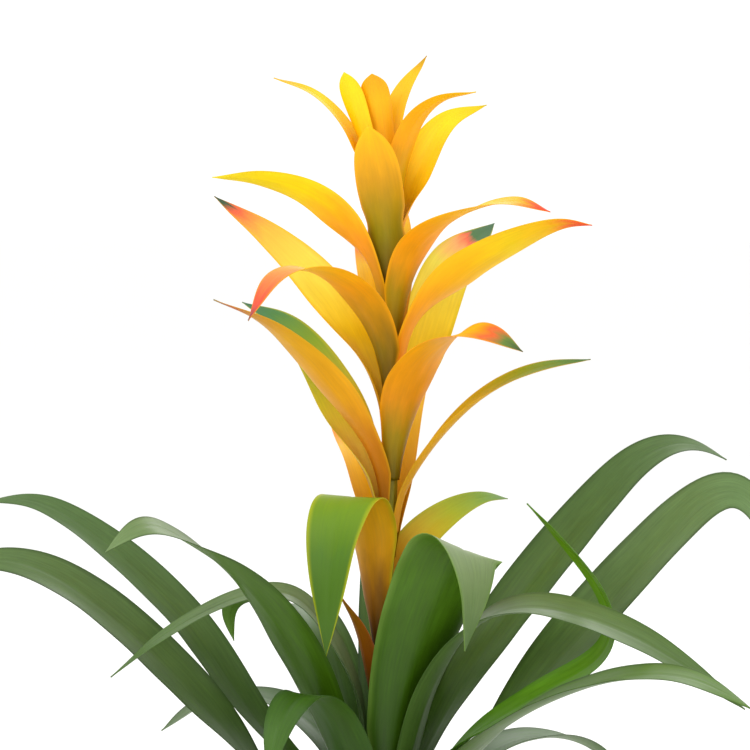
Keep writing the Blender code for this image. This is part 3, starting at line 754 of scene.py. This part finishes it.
# %% Bracts
BRACT_RADIUS = 5.6
BRACT_RISE = 14.0
BRACT_LEAN = 0.14
bract_lengths = []
for shape in BRACTS:
    foot = (BRACT_RADIUS, shape.foot)
    sheath = (BRACT_RADIUS + BRACT_LEAN * BRACT_RISE, shape.foot + BRACT_RISE)
    upper_skin, lower_skin, length = blade_skins(shape, foot, sheath, BRACT_HABIT, chance)
    finishes = skins_of(shape.name, LOOKS.get(shape.name, BRACT_LOOK), "bract")
    piece = make_blade(f"{shape.name}_blade", (upper_skin, lower_skin), length, shape.width, finishes)
    stand_for(piece, shape.name)
    bract_lengths.append(length)
print("bracts are", round(min(bract_lengths)), "to", round(max(bract_lengths)), "mm long")

# %% [markdown]
# ## Turned shapes
#
# The stalk, the soil and the pot are all round. A pot is thrown on a wheel: the potter's hands hold
# one outline while the clay turns. The same idea works here. An outline of a few corners, each with
# its own rounding, is turned about the upright axis, and a small relief gives the marks that the
# hand, or growth, left on it. A Screw modifier would turn it too, but could not add the relief.

# %% Turning tools
STALK_SIDES, POT_SIDES, PEAT_SIDES = 60, 144, 160


def rounded(corners, steps=6):
    """An outline from (radius, height, rounding) corners, each corner an arc."""
    spots = np.array([corner[:2] for corner in corners], float)
    line = []
    for k, (here, corner) in enumerate(zip(spots, corners)):
        if corner[2] == 0:
            line.append(here)
            continue
        back = here + unit(spots[k - 1] - here) * corner[2]
        onward = here + unit(spots[k + 1] - here) * corner[2]
        for t in np.linspace(0.0, 1.0, steps + 1):
            line.append((1 - t) ** 2 * back + 2 * t * (1 - t) * here + t ** 2 * onward)
    return np.array(line)


def fine_steps(line, step):
    """The outline with no stretch longer than a step."""
    fine = [line[0]]
    for a, b in zip(line, line[1:]):
        count = max(1, int(np.ceil(np.linalg.norm(b - a) / step)))
        fine += [a + (b - a) * k / count for k in range(1, count + 1)]
    return np.array(fine)


def turned_grid(outline, sides, relief, centre=None):
    """Rings of points about the axis. relief(radius, height, angle) moves each one in or out and up."""
    angle = np.linspace(0.0, 2 * pi, sides, endpoint=False)[None, :]
    radius, height = outline[1:-1, 0][:, None], outline[1:-1, 1][:, None]
    out, up = relief(radius, height, angle)
    middle = np.zeros_like(height) if centre is None else centre(height)
    wide = radius + out
    rise = height + up + 0.0 * angle
    return np.stack((middle + wide * np.cos(angle), wide * np.sin(angle), rise), axis=-1)


def turned_faces(rings, sides):
    """Quads between neighbouring rings, and a fan of triangles to each end point on the axis."""
    index = np.arange(rings * sides).reshape(rings, sides) + 1
    above, below = index[:-1], index[1:]
    quads = np.stack((above, below, np.roll(below, -1, 1), np.roll(above, -1, 1)), axis=-1)
    first = np.stack((np.zeros(sides, int), index[0], np.roll(index[0], -1)), axis=-1)
    last = np.stack((np.roll(index[-1], -1), index[-1], np.full(sides, rings * sides + 1)), axis=-1)
    return quads.reshape(-1, 4).tolist() + first.tolist() + last.tolist()


def turned_points(outline, grid):
    """All points of a turned piece, with the two on the axis first and last."""
    ends = [(grid[k, :, 0].mean(), grid[k, :, 1].mean(), outline[k, 1]) for k in (0, -1)]
    return np.vstack((ends[0], grid.reshape(-1, 3), ends[1]))


print("two rings of", POT_SIDES, "sides have", len(turned_faces(2, POT_SIDES)), "faces with their ends")

# %% [markdown]
# ## The stalk
#
# Under the leaves sits the caudex, a short fat stem with a papery brown skin ringed by the scars of
# shed leaves. Out of it climbs the scape, a green stalk with shallow ribs that turns golden between
# the bracts. Both are one grown piece, so they share one mesh, and the height decides the colour.

# %% Stalk skin
SCAR_SPACING = 2.6
FIBRE_WIDTH = 0.8


def stalk_skin():
    """Papery brown round the caudex, green fibre on the scape, and gold towards its top."""
    material, tree = new_material("grown_stalk_skin")
    place = add(tree, "TexCoord").outputs["Object"]
    height = add(tree, "SeparateXYZ", {0: place})
    level = add(tree, "MapRange", {0: height.outputs[2], 1: 0.0, 2: 0.54})
    fibre_map = add(tree, "Mapping", {0: place, "Scale": (1 / (FIBRE_WIDTH * MM), 1 / (FIBRE_WIDTH * MM),
                                                          1 / (14 * MM))})
    fibre = add(tree, "TexNoise", {"Vector": fibre_map.outputs[0], "Scale": 1.0, "Detail": 4.0})
    body = add(tree, "ValToRGB", {0: level.outputs[0]}, stops=(
        (0.0, "#4A3220"), (0.21, "#6E5032"), (0.26, "#6C6A2A"), (0.4, "#6F7A1C"), (0.6, "#8A8214"),
        (1.0, "#C09A14")))
    tone = add(tree, "MapRange", {0: fibre.outputs[0], 1: 0.3, 2: 0.7, 3: 0.78, 4: 1.15})
    colour = add(tree, "HueSaturation", {"Value": tone.outputs[0], "Color": body.outputs[0]})
    grain = add(tree, "Bump", {"Strength": 0.5, "Distance": 0.3 * MM, "Height": fibre.outputs[0]})
    shader = add(tree, "BsdfPrincipled", {
        "Base Color": colour.outputs[0],
        "Roughness": 0.55,
        "IOR": WAX_IOR,
        "Subsurface Weight": 0.08,
        "Subsurface Radius": (1.0, 0.8, 0.4),
        "Subsurface Scale": 0.8 * MM,
        "Normal": grain.outputs[0],
    })
    return surface(material, shader)


print("leaf scars are", SCAR_SPACING, "mm apart")

# %% Stalk
CAUDEX_FOOT, CAUDEX_TOP = 74.3, 128.0
STALK_TOP = 534.0
STALK_CORNERS = (
    (0.0, STALK_TOP, 0),
    (2.0, STALK_TOP, 0.8),
    (4.6, 500.0, 8),
    (4.6, CAUDEX_TOP + 12.0, 4),
    (6.6, CAUDEX_TOP, 4),
    (21.7, 101.0, 3),
    (15.7, CAUDEX_FOOT, 1),
    (0.0, CAUDEX_FOOT, 0),
)


def stalk_relief(radius, height, angle):
    """Rings of leaf scars on the caudex, and nine shallow ribs on the scape."""
    on_caudex = ease(-height, -CAUDEX_TOP, 6.0 - CAUDEX_TOP)
    on_scape = ease(height, CAUDEX_TOP + 12.0, CAUDEX_TOP + 40.0)
    scars = -0.3 * (1.0 + np.sin(2 * pi * height / SCAR_SPACING + 0.5 * np.sin(3 * angle))) * on_caudex
    ribs = -0.14 * (1.0 + np.cos(9 * angle + height / 60.0)) * on_scape
    return scars + ribs, 0.0


def stalk_lean(height):
    """The spike leans a little; the caudex stands straight."""
    lean = np.interp(height, scape_line[:, 1], scape_line[:, 0])
    return np.where(height > CAUDEX_TOP, lean, 0.0)


stalk_line = fine_steps(rounded(STALK_CORNERS), 0.9)
stalk_grid = turned_grid(stalk_line, STALK_SIDES, stalk_relief, stalk_lean)
stalk = new_piece("flower_stem_stalk", turned_points(stalk_line, stalk_grid),
                  turned_faces(len(stalk_line) - 2, STALK_SIDES), [stalk_skin()])
stand_for(stalk, "flower_stem")
print("the stalk is", STALK_TOP - CAUDEX_FOOT, "mm long, with", len(stalk.data.polygons), "faces")

# %% [markdown]
# ## The clay pot
#
# Terracotta is red earthenware, fired once and left unglazed, so it is matt and a little porous.
# Throwing leaves faint rings a few millimetres apart, and the edges are softened by a wet sponge.
# Water that seeps through the wall dries to a pale bloom of lime, most of it near the foot. The
# rings and the soft edges are geometry, because they show in the outline.

# %% Terracotta
GRAIN_SIZE = 0.7
BLOOM_PATCH = 26.0


def fired_terracotta():
    """Matt red clay with a fine grain, and a pale bloom that thickens towards the foot."""
    material, tree = new_material("fired_unglazed_terracotta")
    place = add(tree, "TexCoord").outputs["Object"]
    grain = add(tree, "TexNoise", {"Vector": place, "Scale": 1 / (GRAIN_SIZE * MM), "Detail": 3.0})
    blush = add(tree, "TexNoise", {"Vector": place, "Scale": 1 / (38 * MM), "Detail": 4.0})
    patch = add(tree, "TexNoise", {"Vector": place, "Scale": 1 / (BLOOM_PATCH * MM), "Detail": 7.0,
                                   "Roughness": 0.65})
    fired = add(tree, "ValToRGB", {0: blush.outputs[0]}, stops=(
        (0.3, "#A65A38"), (0.5, "#BB6A43"), (0.7, "#C97C52")))
    height = add(tree, "SeparateXYZ", {0: place})
    low = add(tree, "MapRange", {0: height.outputs[2], 1: 0.0, 2: 0.075, 3: 0.16, 4: 0.0})
    damp = add(tree, "Math", {0: patch.outputs[0], 1: low.outputs[0]}, operation="ADD")
    bloom = add(tree, "MapRange", {0: damp.outputs[0], 1: 0.56, 2: 0.82, 3: 0.0, 4: 0.5},
                interpolation_type="SMOOTHSTEP")
    limed = add(tree, "Mix", {0: bloom.outputs[0], 6: fired.outputs[0], 7: linear("#DCC4B0")},
                data_type="RGBA")
    tone = add(tree, "MapRange", {0: grain.outputs[0], 1: 0.3, 2: 0.7, 3: 0.9, 4: 1.08})
    colour = add(tree, "HueSaturation", {"Value": tone.outputs[0], "Color": limed.outputs[2]})
    rough = add(tree, "MapRange", {0: bloom.outputs[0], 1: 0.0, 2: 0.5, 3: 0.82, 4: 0.95})
    pits = add(tree, "Bump", {"Strength": 0.35, "Distance": 0.2 * MM, "Height": grain.outputs[0]})
    shader = add(tree, "BsdfPrincipled", {
        "Base Color": colour.outputs[0],
        "Roughness": rough.outputs[0],
        "IOR": 1.5,
        "Specular IOR Level": 0.3,
        "Normal": pits.outputs[0],
    })
    return surface(material, shader)


print("clay grain", GRAIN_SIZE, "mm, bloom patches about", BLOOM_PATCH, "mm")

# %% Pot
THROW_RING = 3.4
POT_FLOOR, COLLAR_FOOT, POT_HEIGHT = 6.0, 86.0, 110.0
MOUTH_RADIUS, RIM_RADIUS = 53.5, 62.0
POT_CORNERS = (
    (0.0, POT_FLOOR, 0),
    (38.5, POT_FLOOR, 3),
    (MOUTH_RADIUS, COLLAR_FOOT, 3),
    (MOUTH_RADIUS, POT_HEIGHT, 2.4),
    (RIM_RADIUS, POT_HEIGHT, 2.8),
    (61.0, COLLAR_FOOT, 1.4),
    (58.0, 85.0, 1.4),
    (43.2, 0.0, 2.0),
    (36.0, 0.0, 0.8),
    (34.5, 0.9, 0.8),
    (0.0, 0.9, 0),
)


def throwing_marks(radius, height, angle):
    """Rings left by the fingers, on the outer wall only, and the slightest oval."""
    outer = np.where(radius > 42.0 + 0.16 * height, 1.0, 0.0) * ease(height, 3.0, 10.0)
    rings = 0.11 * np.sin(2 * pi * height / THROW_RING + 0.4 * np.sin(angle)) * outer
    softer = np.where(height > COLLAR_FOOT, 0.45, 1.0)
    oval = 0.12 * np.cos(2 * angle + 0.7) * outer
    return rings * softer + oval, 0.0


pot_line = fine_steps(rounded(POT_CORNERS), 0.8)
pot_grid = turned_grid(pot_line, POT_SIDES, throwing_marks)
pot = new_piece("pot_thrown_clay", turned_points(pot_line, pot_grid),
                turned_faces(len(pot_line) - 2, POT_SIDES), [fired_terracotta()])
stand_for(pot, "pot")
print(f"the pot is {POT_HEIGHT:.0f} mm high and {2 * RIM_RADIUS:.0f} mm across, with",
      len(pot.data.polygons), "faces")

# %% [markdown]
# ## The potting mix
#
# Bromeliads grow in a loose mix of peat and composted bark, with white perlite to keep it open. The
# peat is one lumpy surface. The bark chips and perlite are hundreds of small broken lumps pressed
# into it, each a rough twenty-sided block that chance has stretched, dented and tilted. A bump map
# would look right from above and flat from the side, and the side is how a pot is mostly seen.

# %% Finishes of the mix
def crumbly(name, stops, grain_mm, roughness, bump):
    """A broken, matt, natural lump: patchy colour and a rough skin at one grain size."""
    material, tree = new_material(name)
    place = add(tree, "TexCoord").outputs["Object"]
    grain = add(tree, "TexNoise", {"Vector": place, "Scale": 1 / (grain_mm * MM), "Detail": 5.0})
    patch = add(tree, "TexNoise", {"Vector": place, "Scale": 1 / (4 * grain_mm * MM), "Detail": 2.0})
    colour = add(tree, "ValToRGB", {0: patch.outputs[0]}, stops=stops)
    skin = add(tree, "Bump", {"Strength": bump, "Distance": 0.4 * MM, "Height": grain.outputs[0]})
    shader = add(tree, "BsdfPrincipled", {
        "Base Color": colour.outputs[0],
        "Roughness": roughness,
        "IOR": 1.5,
        "Specular IOR Level": 0.25,
        "Normal": skin.outputs[0],
    })
    return surface(material, shader)


mix_finishes = [
    crumbly("damp_peat", ((0.3, "#1E150E"), (0.5, "#2E2118"), (0.7, "#43301F")), 1.0, 0.95, 0.8),
    crumbly("composted_pine_bark", ((0.3, "#3A2415"), (0.5, "#5E3D24"), (0.7, "#855B37")), 1.2, 0.85, 0.6),
    crumbly("expanded_perlite", ((0.3, "#D2CDC2"), (0.6, "#ECE9E1")), 0.5, 0.9, 0.5),
]
print("the mix has", [finish.name for finish in mix_finishes])

# %% Peat
# The open top, from the stem outwards: where it starts, bends and meets the wall of the pot.
PEAT_RADII = (22.3, 36.3, 53.2)
PEAT_LEVELS = (103.0, 102.0, 100.0)
PEAT_FOOT, PEAT_HOLLOW = 6.3, 74.0
PEAT_CORNERS = (
    (0.0, PEAT_HOLLOW, 0),
    (16.3, PEAT_HOLLOW, 0.5),
    (PEAT_RADII[0], PEAT_LEVELS[0], 0.8),
    (PEAT_RADII[1], PEAT_LEVELS[1], 6),
    (PEAT_RADII[2], PEAT_LEVELS[2], 1.0),
    (PEAT_RADII[2], COLLAR_FOOT, 2),
    (38.2, PEAT_FOOT, 2),
    (0.0, PEAT_FOOT, 0),
)


def lumps(x, y):
    """Height of the peat's lumps at a place, in millimetres."""
    coarse = noise.noise(Vector((x / 7.0, y / 7.0, 1.0)))
    fine = noise.noise(Vector((x / 2.4, y / 2.4, 5.0)))
    return 1.0 * coarse + 0.45 * fine


def peat_relief(radius, height, angle):
    """Lumps on the open top only."""
    on_top = ease(height, 99.5, 100.5) * ease(radius, 22.6, 25.0) * ease(-radius, -53.0, -51.0)
    x, y = radius * np.cos(angle), radius * np.sin(angle)
    return 0.0, np.vectorize(lumps)(x, y) * on_top


peat_line = fine_steps(rounded(PEAT_CORNERS), 0.9)
peat_grid = turned_grid(peat_line, PEAT_SIDES, peat_relief)
peat_points = turned_points(peat_line, peat_grid)
peat_faces = turned_faces(len(peat_line) - 2, PEAT_SIDES)
print("the peat has", len(peat_faces), "faces")

# %% Bark and perlite
CHIP_COUNT, PERLITE_COUNT = 560, 80
CHIP_INNER, CHIP_OUTER = 25.0, 50.0
MIX_SEED = 21
block = bmesh.new()
bmesh.ops.create_icosphere(block, subdivisions=1, radius=0.5)
block_points = np.array([corner.co for corner in block.verts])
block_faces = np.array([[corner.index for corner in face.verts] for face in block.faces])
block.free()


def scatter(count, lengths, shape, chance):
    """Loose blocks on the peat. shape is (width, thickness) as shares of the length."""
    points = []
    for _ in range(count):
        radius = np.sqrt(chance.uniform(CHIP_INNER ** 2, CHIP_OUTER ** 2))
        around, turn = chance.uniform(0.0, 2 * pi, 2)
        tilt = chance.normal(0.0, 0.3, 2)
        length = chance.uniform(*lengths)
        x, y = radius * cos(around), radius * sin(around)
        level = np.interp(radius, PEAT_RADII, PEAT_LEVELS) + lumps(x, y)
        dented = block_points * chance.uniform(0.75, 1.2, (len(block_points), 1))
        sized = dented * (length, length * shape[0], length * shape[1])
        tilted = sized @ np.array(Euler((tilt[0], tilt[1], turn)).to_matrix()).T
        points.append(tilted + (x, y, level + 0.2 * length * shape[1]))
    return points


mix_chance = np.random.default_rng(MIX_SEED)
chips = scatter(CHIP_COUNT, (2.2, 6.0), (0.62, 0.32), mix_chance)
perlite = scatter(PERLITE_COUNT, (1.4, 2.8), (0.85, 0.8), mix_chance)
loose = np.concatenate(chips + perlite)
first = len(peat_points) + len(block_points) * np.arange(len(chips) + len(perlite))
loose_faces = (block_faces[None] + first[:, None, None]).reshape(-1, 3).tolist()
mix = new_piece("potting_mix_peat_and_bark", np.vstack((peat_points, loose)),
                peat_faces + loose_faces, mix_finishes)
per_block = len(block_faces)
slots = np.concatenate((np.zeros(len(peat_faces), int), np.ones(len(chips) * per_block, int),
                        np.full(len(perlite) * per_block, 2)))
mix.data.polygons.foreach_set("material_index", slots)
mix.data.polygons.foreach_set("use_smooth", slots != 1)
stand_for(mix, "potting_mix")
print(len(chips), "bark chips and", len(perlite), "grains of perlite lie on the peat")
